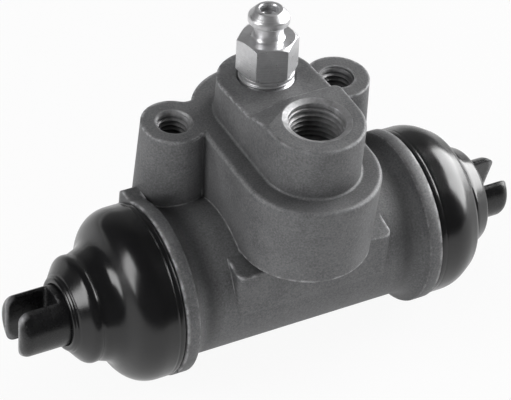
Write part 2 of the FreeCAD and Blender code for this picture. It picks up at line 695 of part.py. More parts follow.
def makeExpander(name):
    """Pressed dish: flared rim inside the cup's lip, raised middle inside the spring."""
    body = newBody(name)
    floor = "dims.piston_length + dims.cup_floor"
    wall = "dims.expander_wall"
    turned(body, f"{name}_turn", [
        (f"0 - ({floor})", "dims.button_radius - dims.expander_wall"),
        (f"0 - ({floor})", "dims.expander_seat"),
        (f"0 - ({floor}) - dims.expander_depth", "dims.expander_rim"),
        (f"0 - ({floor}) - dims.expander_depth", f"dims.expander_rim - {wall}"),
        (f"0 - ({floor}) - {wall}", f"dims.expander_seat - {wall} / 2"),
        (f"0 - ({floor}) - {wall}", "dims.button_radius"),
        (f"0 - ({floor}) - {wall} - dims.button_height", "dims.button_radius"),
        (f"0 - ({floor}) - {wall} - dims.button_height", "0"),
        (f"0 - ({floor}) - dims.button_height", "0"),
        (f"0 - ({floor}) - dims.button_height", f"dims.button_radius - {wall}"),
    ])
    return body


def makePushRod(name):
    """Round pin with a slot for the brake shoe's web."""
    body = newBody(name)
    turned(body, f"{name}_turn", [
        ("0 - dims.recess_depth", "0", "0"),
        ("0 - dims.recess_depth", "dims.rod_radius - dims.rod_foot_break", "0"),
        ("dims.rod_foot_break - dims.recess_depth", "dims.rod_radius", "0"),
        ("dims.rod_stand", "dims.rod_radius", "dims.rod_round"),
        ("dims.rod_stand", "0", "0"),
    ], soft=True)
    slot = newSketch(body, f"{name}_slot_outline", "XY_Plane")
    half = "dims.rod_slot_width / 2"
    drawOutline(slot, [
        ("dims.rod_stand - dims.rod_slot_depth", f"0 - {half}"),
        ("dims.rod_stand + 1", f"0 - {half}"),
        ("dims.rod_stand + 1", half),
        ("dims.rod_stand - dims.rod_slot_depth", half),
    ])
    cutThrough(body, f"{name}_slot", slot)
    return body


def makeBoot(side):
    """Rubber boot, drawn from the cylinder's middle outward."""
    body = newBody(f"{side}_boot")
    corners = []
    for number in range(1, len(BOOTS[side]) + 1):
        corners.append(tuple(f"dims.{side}_boot_{word}{number}" for word in ("along", "radius", "round")))
    turned(body, f"{side}_boot_turn", corners, soft=True)
    return body


def makeEnds():
    for side, sign, turn in (("left", "0 - ", 180.0), ("right", "", 0.0)):
        face = f"{sign}(dims.{side}_reach - dims.rod_stand)"
        seat(makePiston(f"{side}_piston"), f"{side}_piston", face, turn)
        seat(makeCup(f"{side}_piston_cup"), f"{side}_piston_cup", face, turn)
        seat(makeExpander(f"{side}_cup_expander"), f"{side}_cup_expander", face, turn)
        seat(makePushRod(f"{side}_push_rod"), f"{side}_push_rod", face, turn, size(f"dims.{side}_roll"))
        seat(makeBoot(side), f"{side}_boot", "0", turn)


# Return spring between the expanders' seats

def makeSpring():
    """Coil of half turns. Each is half a ring that tilts one way or the other, so that they join smoothly."""
    dish = "(dims.rod_stand + dims.piston_length + dims.cup_floor + dims.expander_wall)"
    start = f"({dish} - dims.left_reach + dims.spring_wire + dims.spring_gap)"
    end = f"(dims.right_reach - {dish} - dims.spring_wire - dims.spring_gap)"
    rise = f"(({end} - {start}) / dims.spring_turns / 2)"
    tilt = math.degrees(math.atan(size(f"{rise} / 2 / dims.spring_radius")))
    halves = []
    for number in range(round(2 * size("dims.spring_turns"))):
        half = doc.addObject("Part::Torus", f"half_turn{number}")
        bind(half, "Radius1", f"sqrt(dims.spring_radius^2 + ({rise} / 2)^2)")
        bind(half, "Radius2", "dims.spring_wire")
        half.Angle3 = 180
        turn = 180 * (number % 2)
        half.Placement = Placement(Vector(0, 0, 0), Rotation(turn, tilt, 0))
        bind(half, "Placement.Base.z", f"{rise} * {number + 0.5}")
        halves.append(half)
    coil = join("return_spring", halves)
    seat(coil, "return_spring", start)
    coil.Placement = Placement(coil.Placement.Base, Rotation(Vector(0, 1, 0), 90))


makeCylinderBody()
makeBleederScrew()
makeEnds()
makeSpring()
doc.recompute()

# Checks, then one file for each sub-part

for thing in doc.Objects:
    if "Invalid" in thing.State or "Error" in thing.State:
        raise RuntimeError(f"{thing.Label} did not compute")
for piece in subparts:
    if piece.Shape.isNull() or not piece.Shape.isValid() or len(piece.Shape.Solids) != 1:
        raise RuntimeError(f"{piece.Label} is not one sound solid")
os.makedirs("parts", exist_ok=True)
for piece in subparts:
    print(piece.Label, round(piece.Shape.Volume, 1), "mm3")
    piece.Shape.exportStep(f"parts/{piece.Label}.step")
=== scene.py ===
import bmesh
import bpy
import math
import numpy as np
from mathutils import Matrix, Vector


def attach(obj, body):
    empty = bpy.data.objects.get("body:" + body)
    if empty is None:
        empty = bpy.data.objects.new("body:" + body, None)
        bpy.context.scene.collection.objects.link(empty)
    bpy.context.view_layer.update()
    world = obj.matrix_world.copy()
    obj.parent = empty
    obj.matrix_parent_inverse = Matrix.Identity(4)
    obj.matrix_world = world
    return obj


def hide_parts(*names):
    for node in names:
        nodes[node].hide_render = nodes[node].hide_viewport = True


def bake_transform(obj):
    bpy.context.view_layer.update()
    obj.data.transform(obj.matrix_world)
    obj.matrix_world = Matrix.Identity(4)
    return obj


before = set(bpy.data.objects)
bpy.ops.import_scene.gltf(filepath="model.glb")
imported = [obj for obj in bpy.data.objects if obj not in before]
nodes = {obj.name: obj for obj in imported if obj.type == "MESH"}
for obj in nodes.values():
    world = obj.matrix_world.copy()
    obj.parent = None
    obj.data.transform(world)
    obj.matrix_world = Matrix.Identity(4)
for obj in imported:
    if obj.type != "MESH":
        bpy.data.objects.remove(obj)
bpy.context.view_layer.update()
mm = 0.001
bpy.context.scene.view_settings.view_transform = "Standard"

# Where things are on the wheel cylinder, in millimetres of the row frame
layout = {
    "boreY": -10.95,
    "boreZ": -26.35,
    "port": (0.0, -19.85, 10.15),  # middle of the inlet port's face
    "boltX": 16.3,
    "seat": (0.0, -2.35, 7.15),
    "seatLean": 5.0,           # degrees that the bleeder leans back
    "lowest": -42.15,          # underside of the collars
}

# Camera: looks down on the mounting side, past the left end
photoView = {
    "place": (-222.424, -354.306, 330.279),
    "right": (0.87632, -0.47507, 0.07997),
    "up": (0.25490, 0.59810, 0.75982),
    "lens": 214.66,
    "sensor": 36.0,
    "farthest": 10.0,          # metres
}


def makeCamera():
    lens = bpy.data.cameras.new("photoCamera")
    lens.lens = photoView["lens"]
    lens.sensor_width = photoView["sensor"]
    lens.clip_end = photoView["farthest"]
    camera = bpy.data.objects.new("photoCamera", lens)
    bpy.context.scene.collection.objects.link(camera)
    right, up = Vector(photoView["right"]).normalized(), Vector(photoView["up"]).normalized()
    back = right.cross(up).normalized()
    turn = Matrix((right, up, back)).transposed().to_4x4()
    camera.matrix_world = Matrix.Translation(Vector(photoView["place"]) * mm) @ turn
    bpy.context.scene.camera = camera


makeCamera()
print("camera ready")

# Small helpers for node trees


def newMaterial(name, colour, roughness, metallic=0.0):
    material = bpy.data.materials.new(name)
    material.use_nodes = True
    tree = material.node_tree
    shader = tree.nodes["Principled BSDF"]
    shader.inputs["Base Color"].default_value = (*colour, 1)
    shader.inputs["Roughness"].default_value = roughness
    shader.inputs["Metallic"].default_value = metallic
    return material, tree, shader


# A node with its sockets and properties set by name
def addNode(tree, kind, **values):
    node = tree.nodes.new(kind)
    for key, value in values.items():
        if key in node.inputs:
            node.inputs[key].default_value = value
        else:
            setattr(node, key, value)
    return node


# Link a socket, or set it when the value is a number or a colour
def feed(tree, socket, value):
    if isinstance(value, bpy.types.NodeSocket):
        tree.links.new(value, socket)
    elif isinstance(value, tuple) and len(value) == 3 and socket.type == "RGBA":
        socket.default_value = (*value, 1)
    else:
        socket.default_value = value


def objectPoint(tree):
    return addNode(tree, "ShaderNodeTexCoord").outputs["Object"]


# X, Y and Z of a point
def splitPoint(tree, point):
    node = addNode(tree, "ShaderNodeSeparateXYZ")
    tree.links.new(point, node.inputs["Vector"])
    return node.outputs["X"], node.outputs["Y"], node.outputs["Z"]


# Noise with its wave length in millimetres
def noise(tree, point, scale, detail=3.0, roughness=0.5):
    node = addNode(tree, "ShaderNodeTexNoise", Detail=detail, Roughness=roughness, Scale=1.0 / (scale * mm))
    tree.links.new(point, node.inputs["Vector"])
    return node.outputs["Fac"]


# Straight change from "low" at fromLow to "high" at fromHigh, level beyond both
def ramp(tree, value, low, high, fromLow=0.0, fromHigh=1.0):
    node = addNode(tree, "ShaderNodeMapRange")
    for key, number in (("From Min", fromLow), ("From Max", fromHigh), ("To Min", low), ("To Max", high)):
        node.inputs[key].default_value = number
    tree.links.new(value, node.inputs["Value"])
    return node.outputs["Result"]


# The same between two places, given in millimetres
def rampAt(tree, value, low, high, start, end):
    return ramp(tree, value, low, high, start * mm, end * mm)


def calc(tree, operation, first, second=0.0):
    node = addNode(tree, "ShaderNodeMath", operation=operation)
    feed(tree, node.inputs[0], first)
    feed(tree, node.inputs[1], second)
    return node.outputs["Value"]


def vectorCalc(tree, operation, first, second=(0, 0, 0)):
    node = addNode(tree, "ShaderNodeVectorMath", operation=operation)
    feed(tree, node.inputs[0], first)
    feed(tree, node.inputs[1], second)
    return node.outputs["Value"] if operation in ("LENGTH", "DOT_PRODUCT") else node.outputs["Vector"]


def mixColour(tree, factor, first, second):
    node = addNode(tree, "ShaderNodeMix", data_type="RGBA")
    for socket, value in ((node.inputs[0], factor), (node.inputs[6], first), (node.inputs[7], second)):
        feed(tree, socket, value)
    return node.outputs[2]


# Bump with its depth in millimetres
def bump(tree, shader, height, depth, base=None):
    node = addNode(tree, "ShaderNodeBump", Strength=1.0, Distance=depth * mm)
    tree.links.new(height, node.inputs["Height"])
    if base is not None:
        tree.links.new(base, node.inputs["Normal"])
    tree.links.new(node.outputs["Normal"], shader.inputs["Normal"])


# Normal that is rounded at edges. The radius is in metres, as a number or a socket.
def softNormal(tree, radius):
    node = addNode(tree, "ShaderNodeBevel", samples=6)
    feed(tree, node.inputs["Radius"], radius)
    return node.outputs["Normal"]


# How open the surface is within a distance: 1 in the open, less in hollows and creases.
# Looked at from inside the solid it is 1 on flats, and less on outer edges.
def openness(tree, distance, inside=False):
    return addNode(tree, "ShaderNodeAmbientOcclusion", only_local=True, inside=inside, samples=8,
                   Distance=distance * mm).outputs["AO"]


# Studio: a white sheet in a dark room, a soft box at each side and three dim fills
studio = {
    "floorSize": 3.0,
    "floorColour": (0.85, 0.85, 0.85),
    "floorDark": (0.1, 0.1, 0.1),  # the floor in front of the sheet, in a reflection
    "floorRoughness": 0.9,
    "floorWhite": 0.93,            # share of the seen floor that is plain white, the rest keeps the shadow
    "sheetWhite": 0.72,            # the same in a reflection
    "worldLevel": 0.11,            # soft light from all round
    "towardsFront": (-0.51, -0.86, 0.0),
    # what a reflection shows beyond the floor, by how far its way points to the front, from -1 to 1
    "room": (0.25, 0.08),          # brightness of the dark room straight behind, and elsewhere
    "roomFade": (-0.85, -0.5),
    "backdropFade": (-0.3, 0.1),   # the white backdrop is behind, and ends low over the floor
    "backdropRise": (0.02, 0.10),
    "sheetFront": (0.11, 0.17),    # where the sheet ends on the front side, in a reflection
    "sheetFade": (0.10, 0.28),     # where it fades on the other sides, and to what share
    "sheetFar": 0.2,
    "aim": (0.0, -0.011, -0.02),
    "lamps": [
        # name, azimuth and elevation in degrees, distance, width and height, brightness of its face, and
        # whether it lights rough surfaces and shows in glossy ones
        ("leftBox", 176.0, 25.0, 0.70, (0.29, 0.50), 6.5, True, True),
        ("rightBox", 0.0, 28.0, 0.75, (0.80, 0.66), 9.0, False, True),
        ("rightFill", 0.0, 13.0, 0.75, (0.60, 0.50), 5.6, True, False),
        ("frontFill", -108.0, 12.0, 0.80, (0.60, 0.40), 2.5, True, False),
        ("topFill", 60.0, 75.0, 0.80, (0.60, 0.60), 0.8, True, False),
    ],
}


# 1 for what the camera sees directly
def seenByCamera(tree):
    return addNode(tree, "ShaderNodeLightPath").outputs["Is Camera Ray"]


# 1 for what is seen in a reflection or through glass
def seenInGloss(tree):
    path = addNode(tree, "ShaderNodeLightPath")
    return calc(tree, "MAXIMUM", path.outputs["Is Glossy Ray"], path.outputs["Is Transmission Ray"])


# The world: white to the camera, a white backdrop in a dark room to gloss, and a plain soft light to the rest
def makeWorld():
    world = bpy.data.worlds.new("studioWorld")
    bpy.context.scene.world = world
    world.use_nodes = True
    tree = world.node_tree
    tree.nodes.clear()
    way = addNode(tree, "ShaderNodeTexCoord").outputs["Generated"]
    rise = vectorCalc(tree, "DOT_PRODUCT", way, (0, 0, 1))
    front = vectorCalc(tree, "DOT_PRODUCT", way, studio["towardsFront"])
    backdrop = calc(tree, "MULTIPLY", ramp(tree, front, 1.0, 0.0, *studio["backdropFade"]),
                    ramp(tree, rise, 1.0, 0.0, *studio["backdropRise"]))
    inGloss = calc(tree, "MAXIMUM", backdrop, ramp(tree, front, *studio["room"], *studio["roomFade"]))
    level = mixColour(tree, seenInGloss(tree), (studio["worldLevel"],) * 3, inGloss)
    level = mixColour(tree, seenByCamera(tree), level, (1.0, 1.0, 1.0))
    background = addNode(tree, "ShaderNodeBackground", Color=(1, 1, 1, 1))
    feed(tree, background.inputs["Strength"], level)
    out = addNode(tree, "ShaderNodeOutputWorld")
    tree.links.new(background.outputs["Background"], out.inputs["Surface"])


# Area lamps that face the cylinder. Power = face brightness * pi * width * height.
def makeLamps():
    for name, azimuth, elevation, distance, (width, height), level, inRough, inGloss in studio["lamps"]:
        lamp = bpy.data.lights.new(name, "AREA")
        lamp.shape = "RECTANGLE"
        lamp.size, lamp.size_y = width, height
        lamp.energy = level * math.pi * width * height
        holder = bpy.data.objects.new(name, lamp)
        bpy.context.scene.collection.objects.link(holder)
        turn, climb = math.radians(azimuth), math.radians(elevation)
        way = Vector((math.cos(turn) * math.cos(climb), math.sin(turn) * math.cos(climb), math.sin(climb)))
        holder.location = Vector(studio["aim"]) + way * distance
        holder.rotation_euler = (-way).to_track_quat("-Z", "Y").to_euler()
        holder.visible_diffuse = inRough
        holder.visible_glossy = inGloss


# Floor: white to the camera and, near the cylinder, to gloss, with the shadow kept
def makeFloor():
    material, tree, shader = newMaterial("studioWhite", studio["floorColour"], studio["floorRoughness"])
    glow = addNode(tree, "ShaderNodeEmission", Color=(1, 1, 1, 1), Strength=1.0)
    point = objectPoint(tree)
    gloss = seenInGloss(tree)
    front = vectorCalc(tree, "DOT_PRODUCT", point, studio["towardsFront"])
    away = vectorCalc(tree, "LENGTH", point)
    sheet = calc(tree, "MULTIPLY", ramp(tree, front, studio["sheetWhite"], 0.0, *studio["sheetFront"]),
                 ramp(tree, away, 1.0, studio["sheetFar"], *studio["sheetFade"]))
    white = calc(tree, "MAXIMUM", calc(tree, "MULTIPLY", gloss, sheet),
                 calc(tree, "MULTIPLY", seenByCamera(tree), studio["floorWhite"]))
    dark = calc(tree, "MULTIPLY", gloss, ramp(tree, front, 0.0, 1.0, *studio["sheetFront"]))
    feed(tree, shader.inputs["Base Color"], mixColour(tree, dark, studio["floorColour"], studio["floorDark"]))
    mix = addNode(tree, "ShaderNodeMixShader")
    feed(tree, mix.inputs[0], white)
    tree.links.new(shader.outputs["BSDF"], mix.inputs[1])
    tree.links.new(glow.outputs["Emission"], mix.inputs[2])
    tree.links.new(mix.outputs["Shader"], tree.nodes["Material Output"].inputs["Surface"])
    half = studio["floorSize"] / 2
    level = layout["lowest"] * mm
    corners = [(-half, -half, level), (half, -half, level), (half, half, level), (-half, half, level)]
    mesh = bpy.data.meshes.new("studioFloor")
    mesh.from_pydata(corners, [], [(0, 1, 2, 3)])
    floor = bpy.data.objects.new("studioFloor", mesh)
    bpy.context.scene.collection.objects.link(floor)
    mesh.materials.append(material)


makeWorld()
makeLamps()
makeFloor()
print("studio ready")

# Materials. A noise's value is mostly between 0.3 and 0.7, which the ranges of it below start from.

castIron = {
    "colour": (0.10, 0.101, 0.104),
    "pale": (0.145, 0.146, 0.149),  # clouds in the coat
    "speck": (0.24, 0.24, 0.245),   # bright grains
    "worn": (0.50, 0.50, 0.51),     # rubbed edges
    "line": (0.30, 0.30, 0.305),    # thin pale line where two walls meet: partly paint worn off, partly a painted highlight of the small fillet there
    # dark colour for the dirt between the grains, and for the painted shade in the hollows and beside the
    # collars
    "dirtAndShade": (0.025, 0.025, 0.026),
    "speckShare": 0.5,
    "dirtInGrain": 0.4,        # shares of dirt between the grains, and of painted shade in the hollows and beside the collars
    "shadeInHollows": 0.5,
    "shadeBesideCollars": 0.62,
    "lineShares": (0.3, 0.9),  # least and most, in patches
    "wornShares": (0.1, 0.95),
    "grainSize": 0.34,         # sand grain
    "grainDepth": 0.05,
    "patchSize": 1.6,
    "cloudSize": 6.0,
    "edgeRadius": 0.5,         # soft cast edges
    "collarRadius": 1.8,       # softer edges on the collars
    "edgeReach": 0.9,          # how far from an edge the wear starts
    "creaseReach": 0.4,        # width of the pale line
    "hollowReach": 7.0,        # size of the hollows that get painted shade
    "roughness": (0.46, 0.62),
    "metallic": 0.1,
}

# Where parts of the casting begin and end, each as a soft change between two places in millimetres
castingPlaces = {
    "collarStart": (18.0, 19.0),    # from the middle, along the bore
    "collarTop": (16.2, 16.8),      # from the bore's axis
    "hollowStart": (17.0, 19.3),    # from the middle: beside a collar, where painted shade goes
    "hollowEnd": (20.0, 22.5),
    "hollowTop": (15.6, 16.4),      # from the bore's axis
    "besideCollarShadeFall": (-8.0, 2.0),      # above the bore's axis: the painted shade beside the collars is weaker below
    "barrelTop": (14.2, 15.2),      # from the bore's axis
    "upperFoot": (-1.0, -0.5),      # height: the foot of the upper hub
}


# How far a point is on the collars, beside them where painted shade goes, and where walls meet with a pale
# line that is partly a painted highlight
def makeCastingMasks(tree, point):
    along, _, height = splitPoint(tree, point)
    fromMiddle = calc(tree, "ABSOLUTE", along)
    fromBore = vectorCalc(tree, "SUBTRACT", point, (0, layout["boreY"] * mm, layout["boreZ"] * mm))
    fromBore = vectorCalc(tree, "LENGTH", vectorCalc(tree, "MULTIPLY", fromBore, (0, 1, 1)))
    collar = calc(tree, "MULTIPLY", rampAt(tree, fromMiddle, 0.0, 1.0, *castingPlaces["collarStart"]),
                  rampAt(tree, fromBore, 1.0, 0.0, *castingPlaces["collarTop"]))
    besideCollarShade = calc(tree, "MULTIPLY", rampAt(tree, fromMiddle, 0.0, 1.0, *castingPlaces["hollowStart"]),
                  rampAt(tree, fromMiddle, 1.0, 0.0, *castingPlaces["hollowEnd"]))
    besideCollarShade = calc(tree, "MULTIPLY", besideCollarShade, rampAt(tree, fromBore, 1.0, 0.0, *castingPlaces["hollowTop"]))
    low, high = (layout["boreZ"] + rise for rise in castingPlaces["besideCollarShadeFall"])
    besideCollarShade = calc(tree, "MULTIPLY", besideCollarShade, rampAt(tree, height, 0.3, 1.0, low, high))
    meeting = calc(tree, "MAXIMUM", rampAt(tree, fromBore, 1.0, 0.0, *castingPlaces["barrelTop"]),
                   rampAt(tree, height, 0.0, 1.0, *castingPlaces["upperFoot"]))
    return collar, besideCollarShade, meeting


# Dark coated iron: sand grain, clouded tone, dirt between the grains, painted shade in the hollows and beside
# the collars, a pale line where walls meet that is partly a painted highlight, edges rubbed bright in patches
def makeCastIron():
    material, tree, shader = newMaterial("castIron", castIron["colour"], 0.55, castIron["metallic"])
    point = objectPoint(tree)
    collar, besideCollarShade, meeting = makeCastingMasks(tree, point)
    grain = noise(tree, point, castIron["grainSize"], 2.0, 0.6)
    cloud = noise(tree, point, castIron["cloudSize"], 4.0, 0.6)
    patch = noise(tree, point, castIron["patchSize"], 3.0, 0.6)
    tone = mixColour(tree, ramp(tree, cloud, 0.0, 1.0, 0.35, 0.65), castIron["colour"], castIron["pale"])
    # the grain's tops are bright, and dirt lies between them
    speck = ramp(tree, grain, 0.0, castIron["speckShare"], 0.5, 0.75)
    tone = mixColour(tree, speck, tone, castIron["speck"])
    dirtAndShade = ramp(tree, grain, castIron["dirtInGrain"], 0.0, 0.28, 0.47)
    tone = mixColour(tree, dirtAndShade, tone, castIron["dirtAndShade"])
    # painted shade: the bands beside the collars are darkened, less towards the bottom
    dirtAndShade = calc(tree, "MULTIPLY", besideCollarShade, castIron["shadeBesideCollars"])
    tone = mixColour(tree, dirtAndShade, tone, castIron["dirtAndShade"])
    # painted shade: darker where the surface is closed in by nearby walls
    dirtAndShade = ramp(tree, openness(tree, castIron["hollowReach"]), castIron["shadeInHollows"], 0.0, 0.35, 0.95)
    tone = mixColour(tree, dirtAndShade, tone, castIron["dirtAndShade"])
    # partly a painted highlight: a thin pale line in the creases where two walls meet
    creaseHighlightMask = ramp(tree, openness(tree, castIron["creaseReach"]), 1.0, 0.0, 0.55, 0.8)
    creaseHighlightMask = calc(tree, "MULTIPLY", creaseHighlightMask, meeting)
    creaseHighlightMask = calc(tree, "MULTIPLY", creaseHighlightMask, ramp(tree, patch, *castIron["lineShares"], 0.4, 0.6))
    tone = mixColour(tree, creaseHighlightMask, tone, castIron["line"])
    edge = ramp(tree, openness(tree, castIron["edgeReach"], True), 1.0, 0.0, 0.58, 0.84)
    rubbed = calc(tree, "MULTIPLY", edge, ramp(tree, patch, *castIron["wornShares"], 0.42, 0.62))
    tone = mixColour(tree, rubbed, tone, castIron["worn"])
    feed(tree, shader.inputs["Base Color"], tone)
    feed(tree, shader.inputs["Roughness"], ramp(tree, cloud, *castIron["roughness"], 0.3, 0.7))
    radius = ramp(tree, collar, castIron["edgeRadius"] * mm, castIron["collarRadius"] * mm)
    bump(tree, shader, grain, castIron["grainDepth"], softNormal(tree, radius))
    return material


tapped = {
    "colour": (0.31, 0.31, 0.315),
    "stain": (0.12, 0.12, 0.122),
    "stainSize": 1.6,
    "stainShare": 0.8,
    "hollowReach": 1.5,        # size of the hollows that are darker
    "hollowShare": 0.9,
    "marks": (0.12, 0.006),    # size and depth of the tool's marks
    "roughness": (0.42, 0.58),
    "metallic": 0.6,
}


# Cut iron in the tapped holes: brighter than the cast skin, with stains, and darker in the hollows
def makeTappedIron():
    material, tree, shader = newMaterial("tappedIron", tapped["colour"], 0.5, tapped["metallic"])
    point = objectPoint(tree)
    stain = noise(tree, point, tapped["stainSize"], 4.0, 0.6)
    stained = ramp(tree, stain, 0.0, tapped["stainShare"], 0.4, 0.72)
    tone = mixColour(tree, stained, tapped["colour"], tapped["stain"])
    stained = ramp(tree, openness(tree, tapped["hollowReach"]), tapped["hollowShare"], 0.0, 0.1, 0.8)
    tone = mixColour(tree, stained, tone, tapped["stain"])
    feed(tree, shader.inputs["Base Color"], tone)
    feed(tree, shader.inputs["Roughness"], ramp(tree, stain, *tapped["roughness"]))
    size, depth = tapped["marks"]
    bump(tree, shader, noise(tree, point, size, 1.0), depth)
    return material


zinc = {
    "colour": (0.70, 0.70, 0.71),
    "dull": (0.46, 0.46, 0.47),
    "cloudSize": 0.9,
    "cloudShare": 0.5,
    "hollowReach": 1.2,        # size of the hollows that are dull
    "hollowShare": 0.8,
    "turning": (0.16, 0.014),  # spacing and depth of the turning marks
    "turningShare": 0.45,
    "edgeRadius": 0.14,
    "roughness": (0.26, 0.38),
    "metallic": 0.82,
}


# Zinc plated turned steel: fine marks round the screw's axis, dull in the hollows
def makeZinc():
    material, tree, shader = newMaterial("brightZinc", zinc["colour"], 0.3, zinc["metallic"])
    point = objectPoint(tree)
    lean = math.radians(layout["seatLean"])
    height = vectorCalc(tree, "DOT_PRODUCT", point, (0, math.sin(lean), math.cos(lean)))
    spacing, depth = zinc["turning"]
    marks = addNode(tree, "ShaderNodeTexNoise", noise_dimensions="1D", Scale=1.0 / (spacing * mm), Detail=2.0)
    tree.links.new(height, marks.inputs["W"])
    cloud = noise(tree, point, zinc["cloudSize"], 4.0, 0.6)
    dull = ramp(tree, cloud, 0.0, zinc["cloudShare"], 0.35, 0.75)
    tone = mixColour(tree, dull, zinc["colour"], zinc["dull"])
    dull = ramp(tree, openness(tree, zinc["hollowReach"]), zinc["hollowShare"], 0.0, 0.2, 0.8)
    tone = mixColour(tree, dull, tone, zinc["dull"])
    dull = ramp(tree, marks.outputs["Fac"], zinc["turningShare"], 0.0, 0.35, 0.55)
    tone = mixColour(tree, dull, tone, zinc["dull"])
    feed(tree, shader.inputs["Base Color"], tone)
    feed(tree, shader.inputs["Roughness"], ramp(tree, cloud, *zinc["roughness"], 0.3, 0.7))
    bump(tree, shader, marks.outputs["Fac"], depth, softNormal(tree, zinc["edgeRadius"] * mm))
    return material


bootRubber = {
    "colour": (0.006, 0.006, 0.0065),
    "roughness": (0.17, 0.26),
    "shine": 0.6,              # specular level
    "smearSize": 5.0,
    "waves": (4.0, 0.035),     # size and depth of the skin's faint waves
}


# Glossy black rubber with faint smears
def makeBootRubber():
    material, tree, shader = newMaterial("bootRubber", bootRubber["colour"], 0.2)
    shader.inputs["Specular IOR Level"].default_value = bootRubber["shine"]
    point = objectPoint(tree)
    smear = noise(tree, point, bootRubber["smearSize"], 4.0, 0.55)
    feed(tree, shader.inputs["Roughness"], ramp(tree, smear, *bootRubber["roughness"], 0.35, 0.7))
    size, depth = bootRubber["waves"]
    bump(tree, shader, noise(tree, point, size, 3.0, 0.4), depth)
    return material


rodSteel = {
    "colour": (0.006, 0.006, 0.0065),
    "worn": (0.05, 0.05, 0.052),
    "bareAndGlint": (0.32, 0.32, 0.33),
    "cloudSize": 1.5,
    "wornShares": (0.2, 1.0),  # least and most on an edge, in patches
    "edgeRadius": 1.1,
    "leftTip": (-51.2, -49.4),     # along the bore, where the tips' edges are bare and carry a painted highlight, and where that ends
    "rightTip": (46.4, 45.2),
    "tipReach": 1.2,           # how far from an edge the bare steel and its painted highlight start
    "marks": (0.6, 0.012),     # size and depth
    "roughness": (0.2, 0.34),
}


# Blackened steel with soft edges; the edges of the slotted tips are light, partly bare steel and partly a
# painted highlight of the rounded tips
def makeRodSteel():
    material, tree, shader = newMaterial("blackSteel", rodSteel["colour"], 0.33)
    point = objectPoint(tree)
    cloud = noise(tree, point, rodSteel["cloudSize"], 4.0, 0.6)
    # an edge is where the rounded normal leaves the plain one
    soft = softNormal(tree, rodSteel["edgeRadius"] * mm)
    plain = addNode(tree, "ShaderNodeNewGeometry").outputs["Normal"]
    edge = ramp(tree, vectorCalc(tree, "DOT_PRODUCT", soft, plain), 1.0, 0.0, 0.9, 0.995)
    rubbed = calc(tree, "MULTIPLY", edge, ramp(tree, cloud, *rodSteel["wornShares"], 0.4, 0.7))
    tone = mixColour(tree, rubbed, rodSteel["colour"], rodSteel["worn"])
    along = splitPoint(tree, point)[0]
    tip = calc(tree, "MAXIMUM", rampAt(tree, along, 1.0, 0.0, *rodSteel["leftTip"]),
               rampAt(tree, along, 0.0, 1.0, *reversed(rodSteel["rightTip"])))
    # partly real wear, partly a painted highlight: the tips' edges turn to bare steel
    bareAndGlint = ramp(tree, openness(tree, rodSteel["tipReach"], True), 1.0, 0.0, 0.55, 0.85)
    tone = mixColour(tree, calc(tree, "MULTIPLY", tip, bareAndGlint), tone, rodSteel["bareAndGlint"])
    feed(tree, shader.inputs["Base Color"], tone)
    feed(tree, shader.inputs["Roughness"], ramp(tree, cloud, *rodSteel["roughness"], 0.3, 0.7))
    size, depth = rodSteel["marks"]
    bump(tree, shader, noise(tree, point, size, 3.0), depth, soft)
    return material


# Finishes of the pieces inside the cylinder: name, colour, roughness, metallic, size of the grain
innerFinishes = {
    "piston": ("turnedAluminium", (0.72, 0.72, 0.73), 0.3, 1.0, 0.4),
    "cup": ("cupRubber", (0.02, 0.02, 0.02), 0.6, 0.0, 0.5),
    "pressed": ("pressedSteel", (0.55, 0.55, 0.56), 0.35, 1.0, 0.6),
    "spring": ("springSteel", (0.4, 0.4, 0.42), 0.3, 1.0, 0.6),
}
innerWear = {"cloud": 3.0, "dull": 0.75, "roughness": (0.8, 1.2), "grainDepth": 0.01}


# Fine grain, with clouds some grains wide that are darker and rougher
def makeInnerFinish(name, colour, roughness, metallic, grain):
    material, tree, shader = newMaterial(name, colour, roughness, metallic)
    point = objectPoint(tree)
    cloud = noise(tree, point, grain * innerWear["cloud"])
    least, most = innerWear["roughness"]
    feed(tree, shader.inputs["Roughness"], ramp(tree, cloud, roughness * least, roughness * most))
    dull = tuple(part * innerWear["dull"] for part in colour)
    tone = mixColour(tree, ramp(tree, cloud, 0.0, 1.0, 0.4, 0.65), colour, dull)
    feed(tree, shader.inputs["Base Color"], tone)
    bump(tree, shader, noise(tree, point, grain), innerWear["grainDepth"])
    return material


finishes = {
    "castIron": makeCastIron(),
    "tappedIron": makeTappedIron(),
    "zinc": makeZinc(),
    "boot": makeBootRubber(),
    "rod": makeRodSteel(),
}
for piece, values in innerFinishes.items():
    finishes[piece] = makeInnerFinish(*values)
print("materials ready")


# Give a CAD node another material
def dress(node, material):
    mesh = nodes[node].data
    if not mesh.materials:
        mesh.materials.append(material)
    for index in range(len(mesh.materials)):
        mesh.materials[index] = material


dress("cylinder_body", finishes["castIron"])
for side in ("left", "right"):
    dress(f"{side}_piston", finishes["piston"])
    dress(f"{side}_piston_cup", finishes["cup"])
    dress(f"{side}_cup_expander", finishes["pressed"])
    dress(f"{side}_push_rod", finishes["rod"])
print("frame dressed")

# Surfaces as grids

meshing = {
    "merge": 0.0005,           # points nearer than this, in millimetres, become one
    "thin": 0.0002,            # faces thinner than this are dissolved
}


# Axes that a piece is turned about: a point on the axis, the axis, and two directions square to it
def turnedAbout(origin, axis, side):
    axis, side = np.array(axis, float), np.array(side, float)
    return np.array(origin, float), axis, side, np.cross(axis, side)


# Even angles all round, without the last one, which is the first again
def anglesRound(columns):
    return np.linspace(0, 2 * math.pi, columns, endpoint=False)


# Point = origin + along * axis + radius * (side * cos(angle) + cross * sin(angle)), rows by columns
def roundGrid(along, radius, angles, place):
    origin, axis, side, cross = place
    along, radius = np.broadcast_arrays(along, radius)
    ring = side * np.cos(angles)[:, None] + cross * np.sin(angles)[:, None]
    return origin + along[..., None] * axis + radius[..., None] * ring


